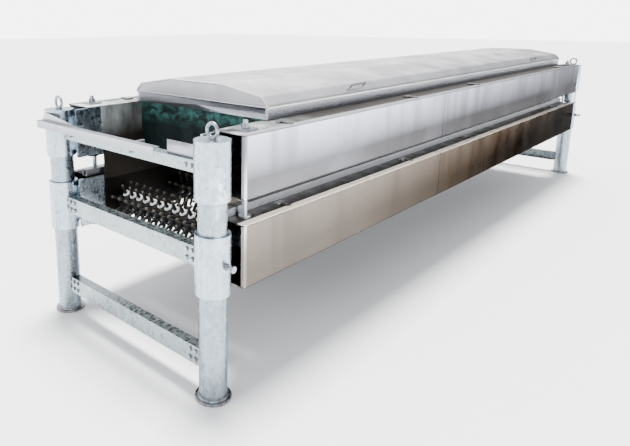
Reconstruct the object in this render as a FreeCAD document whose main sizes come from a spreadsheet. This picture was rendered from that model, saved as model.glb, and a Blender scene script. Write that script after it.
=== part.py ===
import FreeCAD, Part
import math
import os
import re

import Sketcher

# Poultry plucking machine: two long boxes of rubber-fingered rollers, one above the other, whose
# sleeves slide on four columns. Millimetres, +Z up, +X from the entry end to the far end, and the
# side with the belts at -Y. The origin is on the floor at the centre of the whole machine's box.

# Driving sizes, in millimetres: alias, value, what it is.
SIZES = [
    ("post_pitch_x", 4600, "column axis to column axis along the machine"),
    ("post_pitch_y", 1000, "column axis to column axis across the machine"),
    ("tube_radius", 54, "column tube, outside"),
    ("tube_wall", 6, "column tube wall"),
    ("tube_height", 870, "top of the column tube, inside the upper sleeve"),
    ("foot_radius", 70.5, "round foot plate"),
    ("foot_thickness", 10, "round foot plate"),
    ("weld_leg", 6, "weld bead round the foot of the tube"),
    ("sleeve_wall", 12, "sliding sleeve wall"),
    ("sleeve_gap", 0.5, "running gap between tube and sleeve, on the radius"),
    ("lower_sleeve_base", 426, "bottom of the lower sleeve"),
    ("lower_sleeve_top", 655, "top of the lower sleeve"),
    ("upper_sleeve_base", 779, "bottom of the upper sleeve"),
    ("upper_sleeve_top", 994, "top of the upper sleeve's cap"),
    ("cap_thickness", 8, "cap welded on the upper sleeve"),
    ("beam_face", 20, "cross beam's outer face beyond the column axis"),
    ("beam_depth", 45, "cross beam flange"),
    ("beam_sheet", 5, "cross beam web and flanges"),
    ("beam_end_gap", 3, "cross beam's end to the round column"),
    ("lug_thickness", 8, "lug that the beam is bolted to"),
    ("lug_reach", 74, "lug beyond the round column"),
    ("lug_inset", 8, "lug's edge inside the beam's height"),
    ("base_beam_base", 107, "underside of the base beam"),
    ("base_beam_top", 182, "top of the base beam"),
    ("mid_beam_base", 512, "underside of the lower box's beam"),
    ("mid_beam_top", 587, "top of the lower box's beam"),
    ("top_beam_base", 865, "underside of the upper box's beam"),
    ("top_beam_top", 910, "top of the upper box's beam"),
    ("bolt_radius", 6, "M12 beam bolt"),
    ("bolt_clearance", 0.5, "bolt hole, on the radius"),
    ("bolt_hex", 10.4, "corner radius of the M12 head and nut"),
    ("bolt_head", 7.5, "M12 head height"),
    ("bolt_nut", 10, "M12 nut height"),
    ("bolt_first", 22, "first bolt from the round column"),
    ("bolt_step", 30, "first bolt to second bolt, across"),
    ("bolt_rise", 17, "bolt row above and below the beam's middle"),
    ("screw_radius", 8, "M16 clamp screw and eye bolt shank"),
    ("screw_hex", 13.8, "corner radius of the M16 head and nut"),
    ("screw_head", 10, "M16 head height"),
    ("screw_nut", 13, "M16 lock nut height"),
    ("screw_height", 545, "clamp screw's axis"),
    ("screw_reach", 105, "clamp screw's head beyond the column axis"),
    ("thread_gap", 0.05, "screw in its tapped hole, on the radius"),
    ("eye_ring", 25.25, "eye bolt ring, middle of its bar"),
    ("eye_bar", 6.25, "eye bolt ring's bar radius"),
    ("eye_collar", 15, "eye bolt collar radius"),
    ("eye_collar_height", 6, "eye bolt collar"),
    ("eye_shank", 20, "eye bolt shank below its collar"),
    ("wall_inset", 95, "inner wall inside the column axis"),
    ("wall_sheet", 3, "inner wall sheet"),
    ("wall_start", 168, "inner wall's end from the column axis"),
    ("skirt_lap", 25, "upper walls' skirt strip over the lower walls' inner faces"),
    ("skirt_seat", 20, "skirt strip's welded edge on the upper walls"),
    ("skirt_gap", 0.5, "skirt strip to the lower walls"),
    ("flange_inset", 13.5, "wall flange's edge inside the cover's face"),
    ("flange_start", 5, "wall flange's end inside the cover's end"),
    ("casing_overhang", 68.5, "cover's face beyond the column axis"),
    ("casing_start", 93, "cover's end from the column axis"),
    ("lower_casing_base", 426, "bottom of the lower covers"),
    ("lower_casing_top", 672, "top of the lower covers"),
    ("upper_casing_base", 763, "bottom of the upper covers"),
    ("upper_casing_top", 1003, "top of the upper covers"),
    ("cover_sheet", 2, "cover sheet"),
    ("cover_gap", 0.3, "cover's lip over the wall's flange"),
    ("cover_lip", 36, "cover's folded lip"),
    ("cover_fold", 16, "cover's folded end"),
    ("seam_place", 1730, "joint between the covers, from the near columns"),
    ("seam_gap", 4, "gap at the joint between the covers"),
    ("bracket_start", 32, "sleeve bracket's near edge from the column axis"),
    ("bracket_end", 230, "sleeve bracket's far edge from the column axis"),
    ("bracket_sheet", 12, "sleeve bracket plate"),
    ("bracket_margin", 8, "bracket plate inside its box's height, at each end"),
    ("stub_margin", 42, "bracket's stub inside its box's height, at each end"),
    ("tie_radius", 12, "tie rod between the walls"),
    ("tie_inset", 28, "tie rod's axis inside the box's height"),
    ("rail_size", 30, "square side rail"),
    ("rail_wall", 2, "square side rail's wall"),
    ("rail_inset", 45, "side rail's outer face inside the column axis"),
    ("rail_start", 80, "side rail's end from the column axis"),
    ("spindle_place", 176, "levelling spindle from the column axis, along"),
    ("spindle_inset", 5, "levelling spindle inside the column axis, across"),
    ("spindle_radius", 10, "levelling spindle"),
    ("spindle_gap", 0.3, "spindle in its plates, on the radius"),
    ("spindle_hole", 13, "hole for the spindle in the wall's flanges"),
    ("spindle_top", 1040, "top of the spindle"),
    ("spindle_foot", 24, "spindle's round foot"),
    ("spindle_plate", 34, "half width of the spindle's square plate"),
    ("plate_sheet", 8, "spindle's foot and plate"),
    ("spindle_hex", 17, "corner radius of the spindle nut"),
    ("spindle_nut", 16, "spindle nut height"),
    ("roller_pitch", 369, "roller axis to roller axis"),
    ("lower_first", 270, "first lower roller from the near columns"),
    ("upper_first", 560, "first upper roller from the near columns"),
    ("roller_last", 271, "least room between the last roller and the far columns"),
    ("lower_axis", 522, "lower rollers' axis"),
    ("upper_axis", 905, "upper rollers' axis"),
    ("drum_radius", 38, "roller drum"),
    ("drum_gap", 15, "drum's end to the wall"),
    ("finger_reach", 95, "finger tips from the roller's axis"),
    ("finger_pitch", 52, "finger to finger along the drum"),
    ("finger_base", 11, "finger's radius at the drum"),
    ("finger_tip", 7, "finger's radius at its tip"),
    ("shaft_radius", 12.5, "roller shaft"),
    ("shaft_gap", 0.05, "running gap of the shaft, on the radius"),
    ("shaft_hole", 15, "hole for the shaft in the wall"),
    ("bearing_radius", 35, "flanged bearing housing"),
    ("bearing_width", 26, "flanged bearing housing"),
    ("pulley_offset", 36, "pulley's inner face outside the wall"),
    ("pulley_radius", 46, "pulley's flanges"),
    ("groove_radius", 38, "pulley's grooves"),
    ("groove_width", 11, "pulley's grooves"),
    ("pulley_flange", 3, "pulley's flanges"),
    ("belt_gap", 0.3, "belt over its groove"),
    ("belt_width", 10, "drive belt"),
    ("belt_thickness", 6, "drive belt"),
    ("shaft_end", 7, "shaft beyond its outermost fitting"),
    ("gearbox_half", 55, "gearbox, half its length"),
    ("gearbox_rise", 60, "gearbox, half its height"),
    ("gearbox_width", 90, "gearbox across the machine"),
    ("gearbox_seat", 6, "gearbox flange on the bearing"),
    ("gearbox_flange", 33, "gearbox flange radius"),
    ("motor_radius", 48, "motor"),
    ("motor_length", 240, "motor"),
    ("clip_half", 22, "cover clip, half its length"),
    ("clip_place", 90, "cover clip's inner edge inside the cover's face"),
    ("clip_width", 22, "cover clip's base"),
    ("clip_lever", 6, "cover clip's lever thickness"),
    ("clip_lever_half", 8, "cover clip's lever, half its length"),
    ("clip_reach", 22, "cover clip's lever end inside the cover's face"),
    ("clip_gap", 0.3, "lever over the cover's lip"),
    ("curb_start", 397, "lid opening's frame from the near columns"),
    ("curb_end", 170, "lid opening's frame from the far columns"),
    ("curb_width", 15, "lid opening's frame bar"),
    ("curb_top", 1046, "top of the lid opening's frame"),
    ("lid_gap", 1, "lid's rim to the frame, at the side"),
    ("lid_end_gap", 3, "lid's rim to the frame, at the ends"),
    ("lid_sheet", 3, "lid sheet"),
    ("lid_rim_base", 1040, "bottom of the lid's rim"),
    ("lid_lift", 3, "lid's hinged edge above the frame"),
    ("lid_rim_top", 1060, "top of the lid's upright rim"),
    ("lid_shoulder_top", 1095, "top of the lid's lower facet"),
    ("lid_shoulder", 38, "lower facet's width"),
    ("lid_top", 1130, "flat top of the lid"),
    ("lid_flat_half", 168, "flat top of the lid, half its width"),
    ("hinge_offset", 16, "hinge axis outside the lid opening's frame"),
    ("hinge_half", 40, "hinge knuckle, half its length"),
    ("hinge_radius", 8, "hinge knuckle"),
    ("hinge_lug_radius", 10, "round of the hinge's lugs"),
    ("pin_radius", 4, "hinge pin"),
    ("lug_gap", 2, "knuckle to the hinge's lugs"),
    ("hinge_lug", 8, "hinge lug thickness"),
    ("handle_half", 60, "lid handle, half its length"),
    ("handle_radius", 5, "lid handle bar"),
    ("handle_reach", 22, "lid handle above the sheet"),
    ("curtain_start", 400, "curtain's face from the near columns"),
    ("curtain_sheet", 4, "rubber curtain"),
    ("curtain_gap", 10, "curtain's edge to the wall"),
    ("curtain_base", 775, "bottom of the curtain"),
    ("hang_gap", 0.3, "curtain below its rail"),
    ("gutter_reach", 100, "hand rail's face ahead of the near columns"),
    ("gutter_sheet", 3, "hand rail's sheet"),
    ("gutter_base", 917, "bottom of the hand rail's face"),
    ("gutter_top", 950, "top of the hand rail's face"),
    ("gutter_gap", 3.5, "hand rail's rear edge ahead of the near sleeves"),
    ("gutter_left", 530, "hand rail's left end from the middle"),
    ("gutter_right", 300, "hand rail's right end from the middle"),
    ("gutter_upstand", 988, "top of the hand rail's rear upstand, at the left"),
    ("guide_left", 262, "guide plate's inner edge from the middle"),
    ("guide_top", 961, "top of the guide plate"),
    ("guide_sheet", 3, "guide plate's sheet"),
]

doc = FreeCAD.newDocument("PluckingMachine")
sheet = doc.addObject("Spreadsheet::Sheet", "Sizes")
for row, (alias, value, note) in enumerate(SIZES, 1):
    sheet.set(f"A{row}", str(value))
    sheet.setAlias(f"A{row}", alias)
    sheet.set(f"B{row}", note)
doc.recompute()
ALIASES = {alias for alias, value, note in SIZES}

# Places that several pieces share, written as formulas of the sizes.
NEAR = "(-(post_pitch_x + foot_radius - gutter_reach) / 2)"
FAR = f"({NEAR} + post_pitch_x)"
POST = "(post_pitch_y / 2)"
WALL = f"({POST} - wall_inset)"
WALL_OUT = f"({WALL} + wall_sheet)"
CASE = f"({POST} + casing_overhang)"
FLANGE = f"({CASE} - flange_inset)"
SLEEVE_BORE = "(tube_radius + sleeve_gap)"
SLEEVE = f"({SLEEVE_BORE} + sleeve_wall)"
LIP = "(cover_sheet + cover_gap)"
POSTS = [("near", -1, "right", -1), ("near", -1, "left", 1), ("far", 1, "right", -1), ("far", 1, "left", 1)]
ENDS = [("near", -1), ("far", 1)]
SIDES = [("right", -1), ("left", 1)]

nodes = {}


def size(alias):
    """The number that a size's cell holds."""
    return float(getattr(sheet, alias))


def formula(text):
    """The text with each size's name pointing at its cell in the sheet."""

    def cell(match):
        word = match.group(0)
        return f"Sizes.{word}" if word in ALIASES else word

    return re.sub(r"[a-z][a-z0-9_]*", cell, str(text))


def bind(item, **properties):
    """Binds properties of an object to formulas; two underscores stand for a dot."""
    for name, text in properties.items():
        item.setExpression(name.replace("__", "."), formula(text))


def place(item, x, y, z):
    bind(item, Placement__Base__x=x, Placement__Base__y=y, Placement__Base__z=z)


def block(name, x, y, z):
    """A rectangular bar between two formulas each way."""
    item = doc.addObject("Part::Box", name)
    bind(item, Length=f"({x[1]}) - ({x[0]})", Width=f"({y[1]}) - ({y[0]})", Height=f"({z[1]}) - ({z[0]})")
    place(item, x[0], y[0], z[0])
    return item


TURNS = {
    "x": FreeCAD.Rotation(FreeCAD.Vector(0, 1, 0), 90),
    "y": FreeCAD.Rotation(FreeCAD.Vector(1, 0, 0), -90),
    "z": FreeCAD.Rotation(),
}


def rod(name, axis, x, y, z, length, radius):
    """A cylinder that starts at x, y, z and runs along a positive axis."""
    item = doc.addObject("Part::Cylinder", name)
    item.Placement = FreeCAD.Placement(FreeCAD.Vector(), TURNS[axis])
    bind(item, Radius=radius, Height=length)
    place(item, x, y, z)
    return item


def hexagon(name, axis, x, y, z, length, corner):
    """A hexagonal head or nut that starts at x, y, z and runs along a positive axis."""
    item = doc.addObject("Part::Prism", name)
    item.Polygon = 6
    item.Placement = FreeCAD.Placement(FreeCAD.Vector(), TURNS[axis])
    bind(item, Circumradius=corner, Height=length)
    place(item, x, y, z)
    return item


def fused(name, pieces):
    item = doc.addObject("Part::MultiFuse", name)
    item.Shapes = pieces
    return item


def grouped(name, pieces):
    item = doc.addObject("Part::Compound", name)
    item.Links = pieces
    return item


def cut(name, base, tools):
    """The base with every tool taken out of it."""
    item = doc.addObject("Part::Cut", name)
    item.Base = base
    item.Tool = tools[0] if len(tools) == 1 else grouped(f"{name}_tools", tools)
    return item


def profile(name, plane, corners, length):
    """A body with one closed outline, each corner bound to a pair of formulas, padded to a length."""
    body = doc.addObject("PartDesign::Body", name)
    sketch = body.newObject("Sketcher::SketchObject", f"{name}_outline")
    origin_plane = next(f for f in body.Origin.OriginFeatures if f.Role == plane)
    sketch.AttachmentSupport = [(origin_plane, "")]
    sketch.MapMode = "FlatFace"
    count = len(corners)
    start = [FreeCAD.Vector(math.cos(2 * math.pi * i / count), math.sin(2 * math.pi * i / count), 0) * 100
             for i in range(count)]
    for i in range(count):
        sketch.addGeometry(Part.LineSegment(start[i], start[(i + 1) % count]), False)
    for i in range(count):
        sketch.addConstraint(Sketcher.Constraint("Coincident", i, 2, (i + 1) % count, 1))
    for i, (across, up) in enumerate(corners):
        for kind, text, now in (("DistanceX", across, start[i].x), ("DistanceY", up, start[i].y)):
            number = sketch.addConstraint(Sketcher.Constraint(kind, -1, 1, i, 1, now))
            sketch.setExpression(f"Constraints[{number}]", formula(text))
    pad = body.newObject("PartDesign::Pad", f"{name}_pad")
    pad.Profile = sketch
    bind(pad, Length=length)
    return body


def node(label, item):
    """Names a finished sub-part, whose label is its file's name."""
    item.Label = label
    nodes[label] = item
    return item


def outward(end, a, b):
    """The span between two distances beyond the column axis, at the near or the far end."""
    return (f"{NEAR} - ({b})", f"{NEAR} - ({a})") if end < 0 else (f"{FAR} + ({a})", f"{FAR} + ({b})")


def inward(end, distance):
    """The place a distance inside the column axis, at the near or the far end."""
    return f"{NEAR} + ({distance})" if end < 0 else f"{FAR} - ({distance})"


def inside(end, a, b):
    """The span between two distances inside the column axis, at the near or the far end."""
    return (inward(end, a), inward(end, b)) if end < 0 else (inward(end, b), inward(end, a))


def sideways(side, a, b):
    """The span between two distances from the machine's middle, on the right or the left."""
    return (f"-({b})", f"-({a})") if side < 0 else (f"({a})", f"({b})")


def beam(name, end, half, base, top):
    """A channel across the machine, its web outwards."""
    d = -1 if end < 0 else 1
    axis = NEAR if end < 0 else FAR
    face = f"{axis} + {d} * beam_face"
    web = f"{axis} + {d} * (beam_face - beam_sheet)"
    edge = f"{axis} + {d} * (beam_face - beam_depth)"
    corners = [(face, base), (edge, base), (edge, f"{base} + beam_sheet"), (web, f"{base} + beam_sheet"),
               (web, f"{top} - beam_sheet"), (edge, f"{top} - beam_sheet"), (edge, top), (face, top)]
    channel = profile(name, "XZ_Plane", corners, f"2 * ({half})")
    bind(channel, Placement__Base__y=half)
    return channel


def beam_joint(name, end, side, radius, base, top, rows):
    """One end of a cross beam: the lug on the column, its bolts and their holes."""
    middle = f"(({base}) + ({top})) / 2"
    lug_x = outward(end, "beam_face - beam_sheet - lug_thickness", "beam_face - beam_sheet")
    lug_y = sideways(side, f"{POST} - {radius} - lug_reach", f"{POST} - {radius} + sleeve_wall / 2")
    lug = block(f"{name}_lug", lug_x, lug_y, (f"{base} + lug_inset", f"{top} - lug_inset"))
    behind = "beam_face - beam_sheet - lug_thickness - bolt_nut"
    bolts, holes = [], []
    for i, step in enumerate(("bolt_first", "bolt_first + bolt_step")):
        y = f"{side} * ({POST} - {radius} - ({step}))"
        for j, row in enumerate(rows):
            z = f"{middle} + {row}"
            tag = f"{name}_{i}{j}"
            shank = outward(end, behind, "beam_face")
            head = outward(end, "beam_face", "beam_face + bolt_head")
            nut = outward(end, behind, f"{behind} + bolt_nut")
            bore = outward(end, "-beam_depth", "beam_face + bolt_head")
            bolts.append(fused(f"{tag}_bolt", [
                rod(f"{tag}_shank", "x", shank[0], y, z, f"({shank[1]}) - ({shank[0]})", "bolt_radius"),
                hexagon(f"{tag}_head", "x", head[0], y, z, "bolt_head", "bolt_hex"),
                hexagon(f"{tag}_nut", "x", nut[0], y, z, "bolt_nut", "bolt_hex")]))
            holes.append(rod(f"{tag}_hole", "x", bore[0], y, z, f"({bore[1]}) - ({bore[0]})",
                             "bolt_radius + bolt_clearance"))
    return lug, bolts, holes


def level(name, radius, base, top, rows):
    """The joints of both cross beams at one height: each post's lug and holes, and all bolts."""
    joints, bolts = {}, []
    for end_name, end, side_name, side in POSTS:
        key = f"{end_name}_{side_name}"
        lug, own, holes = beam_joint(f"{name}_{key}", end, side, radius, base, top, rows)
        joints[key] = (lug, holes)
        bolts += own
    return joints, bolts


def drilled_beams(name, radius, base, top, joints):
    """The near and the far cross beam of one height, drilled for their bolts."""
    half = f"{POST} - {radius} - beam_end_gap"
    both = []
    for end_name, end in ENDS:
        holes = [hole for key, (lug, own) in joints.items() if key.startswith(end_name) for hole in own]
        channel = beam(f"{name}_{end_name}", end, half, base, top)
        both.append(cut(f"{name}_{end_name}_drilled", channel, holes))
    return grouped(name, both)


TWO_ROWS = ("(-bolt_rise)", "bolt_rise")
ONE_ROW = ("0",)


# The frame: four column tubes on round feet, tied by a base beam at each end.

def columns():
    joints, bolts = level("base", "tube_radius", "base_beam_base", "base_beam_top", TWO_ROWS)
    for end_name, end, side_name, side in POSTS:
        key = f"{end_name}_{side_name}"
        x = NEAR if end < 0 else FAR
        y = f"{side} * {POST}"
        lug, holes = joints[key]
        weld = doc.addObject("Part::Cone", f"column_{key}_weld")
        bind(weld, Radius1="tube_radius + weld_leg", Radius2="tube_radius", Height="weld_leg")
        place(weld, x, y, "foot_thickness")
        solid = fused(f"column_{key}_solid", [
            rod(f"column_{key}_tube", "z", x, y, "0", "tube_height", "tube_radius"),
            rod(f"column_{key}_foot", "z", x, y, "0", "foot_thickness", "foot_radius"), weld, lug])
        bore = rod(f"column_{key}_bore", "z", x, y, "foot_thickness", "tube_height",
                   "tube_radius - tube_wall")
        node(f"column_{key}", cut(f"column_{key}_cut", solid, [bore] + holes))
    node("base_beams", drilled_beams("base_beam", "tube_radius", "base_beam_base", "base_beam_top", joints))
    node("frame_bolts", grouped("frame_bolt_group", bolts))


# The sleeves that carry each box: a bored tube with a lug for the beam and a bracket to the wall.

def sleeve(name, end, side, base, top, low, high, joint):
    x = NEAR if end < 0 else FAR
    y = f"{side} * {POST}"
    lug, holes = joint
    plate = block(f"{name}_plate", inside(end, "bracket_start", "bracket_end"),
                  sideways(side, WALL_OUT, f"{WALL_OUT} + bracket_sheet"),
                  (f"{low} + bracket_margin", f"{high} - bracket_margin"))
    stub = block(f"{name}_stub", inside(end, "bracket_start", "bracket_start + bracket_sheet"),
                 sideways(side, WALL_OUT, f"{POST} - {SLEEVE_BORE} + sleeve_wall"),
                 (f"{low} + stub_margin", f"{high} - stub_margin"))
    solid = fused(f"{name}_solid", [
        rod(f"{name}_tube", "z", x, y, base, f"({top}) - ({base})", SLEEVE), lug, plate, stub])
    return solid, x, y, holes


def lower_sleeves():
    joints, bolts = level("mid", SLEEVE, "mid_beam_base", "mid_beam_top", TWO_ROWS)
    sleeves, screws = [], []
    for end_name, end, side_name, side in POSTS:
        name = f"lower_sleeve_{end_name}_{side_name}"
        key = f"{end_name}_{side_name}"
        solid, x, y, holes = sleeve(name, end, side, "lower_sleeve_base", "lower_sleeve_top",
                                    "lower_casing_base", "lower_casing_top", joints[key])
        bore = rod(f"{name}_bore", "z", x, y, "lower_sleeve_base", "lower_sleeve_top - lower_sleeve_base",
                   SLEEVE_BORE)
        tip = sideways(side, f"{POST} + {SLEEVE_BORE}", f"{POST} + screw_reach")
        head = sideways(side, f"{POST} + screw_reach - screw_head", f"{POST} + screw_reach")
        nut = sideways(side, f"{POST} + {SLEEVE}", f"{POST} + {SLEEVE} + screw_nut")
        tapped = rod(f"{name}_tapped", "y", x, tip[0], "screw_height", f"({tip[1]}) - ({tip[0]})",
                     "screw_radius + thread_gap")
        sleeves.append(cut(f"{name}_cut", solid, [bore, tapped] + holes))
        screws.append(fused(f"{name}_screw", [
            rod(f"{name}_screw_shank", "y", x, tip[0], "screw_height", f"({tip[1]}) - ({tip[0]})",
                "screw_radius"),
            hexagon(f"{name}_screw_head", "y", x, head[0], "screw_height", "screw_head", "screw_hex"),
            hexagon(f"{name}_screw_nut", "y", x, nut[0], "screw_height", "screw_nut", "screw_hex")]))
    node("lower_sleeves", grouped("lower_sleeve_group", sleeves))
    node("lower_fasteners", grouped("lower_fastener_group", screws + bolts))
    node("mid_beams", drilled_beams("mid_beam", SLEEVE, "mid_beam_base", "mid_beam_top", joints))


def upper_sleeves():
    joints, bolts = level("top", SLEEVE, "top_beam_base", "top_beam_top", ONE_ROW)
    sleeves, eyes = [], []
    for end_name, end, side_name, side in POSTS:
        name = f"upper_sleeve_{end_name}_{side_name}"
        key = f"{end_name}_{side_name}"
        solid, x, y, holes = sleeve(name, end, side, "upper_sleeve_base", "upper_sleeve_top",
                                    "upper_casing_base", "upper_casing_top", joints[key])
        bore = rod(f"{name}_bore", "z", x, y, "upper_sleeve_base",
                   "upper_sleeve_top - upper_sleeve_base - cap_thickness", SLEEVE_BORE)
        tapped = rod(f"{name}_tapped", "z", x, y, "upper_sleeve_top - eye_shank", "eye_shank",
                     "screw_radius + thread_gap")
        sleeves.append(cut(f"{name}_cut", solid, [bore, tapped] + holes))
        ring = doc.addObject("Part::Torus", f"{name}_ring")
        ring.Placement = FreeCAD.Placement(FreeCAD.Vector(), TURNS["x"])
        bind(ring, Radius1="eye_ring", Radius2="eye_bar")
        place(ring, x, y, "upper_sleeve_top + eye_collar_height + eye_ring")
        eyes.append(fused(f"{name}_eye", [
            rod(f"{name}_shank", "z", x, y, "upper_sleeve_top - eye_shank", "eye_shank", "screw_radius"),
            rod(f"{name}_collar", "z", x, y, "upper_sleeve_top", "eye_collar_height", "eye_collar"), ring]))
    node("upper_sleeves", grouped("upper_sleeve_group", sleeves))
    node("top_beams", drilled_beams("top_beam", SLEEVE, "top_beam_base", "top_beam_top", joints))
    return eyes + bolts


# The boxes: two channel-shaped walls tied by rods, and clipped-on covers over the walls' flanges.

def roller_places(first):
    """Each roller's distance from the near columns, as many as fit before the far columns."""
    room = size("post_pitch_x") - size("roller_last") - size(first)
    count = int(room / size("roller_pitch") + 0.001) + 1
    return [f"{first} + {i} * roller_pitch" for i in range(count)]


def walls(name, base, top, first, axis, tie_height, spindle_holes, skirt=None):
    places = roller_places(first)
    low, high = f"({base} + {LIP})", f"({top} - {LIP})"
    run = "post_pitch_x - 2 * (casing_start + flange_start)"
    shaft_holes = [rod(f"{name}_shaft_hole_{i}", "y", f"{NEAR} + {u}", f"-{WALL_OUT} - 1", axis,
                       f"2 * {WALL_OUT} + 2", "shaft_hole") for i, u in enumerate(places)]
    sides = []
    for side_name, side in SIDES:
        corners = [(f"{side} * {WALL}", low), (f"{side} * {FLANGE}", low),
                   (f"{side} * {FLANGE}", f"{low} + wall_sheet"),
                   (f"{side} * {WALL_OUT}", f"{low} + wall_sheet"),
                   (f"{side} * {WALL_OUT}", f"{high} - wall_sheet"),
                   (f"{side} * {FLANGE}", f"{high} - wall_sheet"),
                   (f"{side} * {FLANGE}", high), (f"{side} * {WALL}", high)]
        channel = profile(f"{name}_{side_name}", "YZ_Plane", corners, run)
        bind(channel, Placement__Base__x=f"{NEAR} + casing_start + flange_start")
        if skirt:
            run_x = (f"{NEAR} + wall_start", f"{FAR} - wall_start")
            face = f"{WALL} - skirt_gap"
            strip = block(f"{name}_{side_name}_skirt", run_x, sideways(side, f"{face} - wall_sheet", face),
                          (skirt, f"{low} + skirt_seat"))
            seat = block(f"{name}_{side_name}_seat", run_x, sideways(side, face, WALL),
                         (low, f"{low} + skirt_seat"))
            channel = fused(f"{name}_{side_name}_skirted", [channel, strip, seat])
        notches = []
        for end_name, end in ENDS:
            notches.append(block(f"{name}_{side_name}_{end_name}_notch", inside(end, "0", "wall_start"),
                                 sideways(side, f"{WALL} - 1", WALL_OUT), (low, high)))
        sides.append(cut(f"{name}_{side_name}_cut", channel, notches + shaft_holes + spindle_holes))
    ties = [rod(f"{name}_tie_{i}", "y", f"{NEAR} + {places[i]} + roller_pitch / 2", f"-{WALL}", tie_height,
                f"2 * {WALL}", "tie_radius") for i in range(1, len(places) - 1, 4)]
    node(name, grouped(f"{name}_group", sides + ties))


def cover(name, side, start, end, base, top, fold_at):
    """A folded C-shaped cover over one side of a box, with one folded end."""
    face, inner = f"{side} * {CASE}", f"{side} * ({CASE} - cover_sheet)"
    lip = f"{side} * ({CASE} - cover_lip)"
    corners = [(face, base), (face, top), (lip, top), (lip, f"{top} - cover_sheet"),
               (inner, f"{top} - cover_sheet"), (inner, f"{base} + cover_sheet"),
               (lip, f"{base} + cover_sheet"), (lip, base)]
    shell = profile(f"{name}_shell", "YZ_Plane", corners, f"({end}) - ({start})")
    bind(shell, Placement__Base__x=start)
    x = (start, f"{start} + cover_sheet") if fold_at == "start" else (f"{end} - cover_sheet", end)
    fold = block(f"{name}_fold", x, sideways(side, f"{CASE} - cover_fold", CASE), (base, top))
    node(name, fused(f"{name}_fused", [shell, fold]))


def covers(name, base, top):
    start, end = f"{NEAR} + casing_start", f"{FAR} - casing_start"
    seam = f"{NEAR} + seam_place"
    for side_name, side in SIDES:
        cover(f"{name}_cover_near_{side_name}", side, start, f"{seam} - seam_gap / 2", base, top, "start")
        cover(f"{name}_cover_far_{side_name}", side, f"{seam} + seam_gap / 2", end, base, top, "end")


CLIP_PLACES = [f"{NEAR} + 390", f"{NEAR} + 1440", f"{NEAR} + 2270", f"{FAR} - 510"]


def clips(name, levels):
    """Lever clips that hold the covers' lips: levels are (flange face, lip face, direction)."""
    pieces = []
    for k, (flange, lip, up) in enumerate(levels):
        for side_name, side in SIDES:
            for i, x in enumerate(CLIP_PLACES):
                tag = f"{name}_{k}_{side_name}_{i}"
                seat = f"({lip} + {up} * clip_gap)"
                far_face = f"({seat} + {up} * clip_lever)"
                base_z = (flange, far_face) if up > 0 else (far_face, flange)
                lever_z = (seat, far_face) if up > 0 else (far_face, seat)
                base_y = sideways(side, f"{CASE} - clip_place", f"{CASE} - clip_place + clip_width")
                lever_y = sideways(side, f"{CASE} - clip_place", f"{CASE} - clip_reach")
                base = block(f"{tag}_base", (f"{x} - clip_half", f"{x} + clip_half"), base_y, base_z)
                lever = block(f"{tag}_lever", (f"{x} - clip_lever_half", f"{x} + clip_lever_half"), lever_y,
                              lever_z)
                pieces.append(fused(tag, [base, lever]))
    node(name, grouped(f"{name}_group", pieces))


# The rollers: a drum with rings of rubber fingers on a through shaft, with a double belt pulley.

def roller_shape(left_end):
    """The solid a turning roller fills, about the Y axis through the origin."""
    wall = size("post_pitch_y") / 2 - size("wall_inset")
    drum_end = wall - size("drum_gap")
    drum, reach, shaft = size("drum_radius"), size("finger_reach"), size("shaft_radius")
    base, tip, pitch = size("finger_base"), size("finger_tip"), size("finger_pitch")
    outline = [(0, left_end), (shaft, left_end), (shaft, drum_end), (drum, drum_end)]
    rings = 2 * int((drum_end - base) / pitch) + 1
    for i in range(rings):
        middle = ((rings - 1) / 2 - i) * pitch
        outline += [(drum, middle + base), (reach, middle + tip)]
        outline += [(reach, middle - tip), (drum, middle - base)]
    outline += [(drum, -drum_end), (shaft, -drum_end)]
    y = -(wall + size("wall_sheet") + size("pulley_offset"))
    flange, groove = size("pulley_flange"), size("groove_width")
    outline.append((shaft, y))
    for _ in range(2):
        outline += [(size("pulley_radius"), y), (size("pulley_radius"), y - flange)]
        outline += [(size("groove_radius"), y - flange), (size("groove_radius"), y - flange - groove)]
        y -= flange + groove
    outline += [(size("pulley_radius"), y), (size("pulley_radius"), y - flange), (shaft, y - flange)]
    right_end = y - flange - size("shaft_end")
    outline += [(shaft, right_end), (0, right_end)]
    points = [FreeCAD.Vector(r, across, 0) for r, across in outline]
    face = Part.Face(Part.makePolygon(points + points[:1]))
    return face.revolve(FreeCAD.Vector(), FreeCAD.Vector(0, 1, 0), 360)


def rollers(name, first, axis):
    places = roller_places(first)
    wall_out = size("post_pitch_y") / 2 - size("wall_inset") + size("wall_sheet")
    seat = wall_out + size("bearing_width")
    plain_end = seat + size("shaft_end")
    drive_end = seat + size("gearbox_seat") + size("gearbox_width") - size("shaft_end")
    plain, driven = roller_shape(plain_end), roller_shape(drive_end)
    for i, u in enumerate(places):
        item = doc.addObject("Part::Feature", f"{name}_{i + 1:02d}_turned")
        item.Shape = driven if u == places[-1] else plain
        place(item, f"{NEAR} + {u}", "0", axis)
        node(f"{name}_{i + 1:02d}", item)


def bearings(name, first, axis):
    pieces = []
    for i, u in enumerate(roller_places(first)):
        for side_name, side in SIDES:
            span = sideways(side, WALL_OUT, f"{WALL_OUT} + bearing_width")
            tag = f"{name}_{i}_{side_name}"
            x = f"{NEAR} + {u}"
            body = rod(f"{tag}_body", "y", x, span[0], axis, "bearing_width", "bearing_radius")
            bore = rod(f"{tag}_bore", "y", x, span[0], axis, "bearing_width", "shaft_radius + shaft_gap")
            pieces.append(cut(tag, body, [bore]))
    node(name, grouped(f"{name}_group", pieces))


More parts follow.
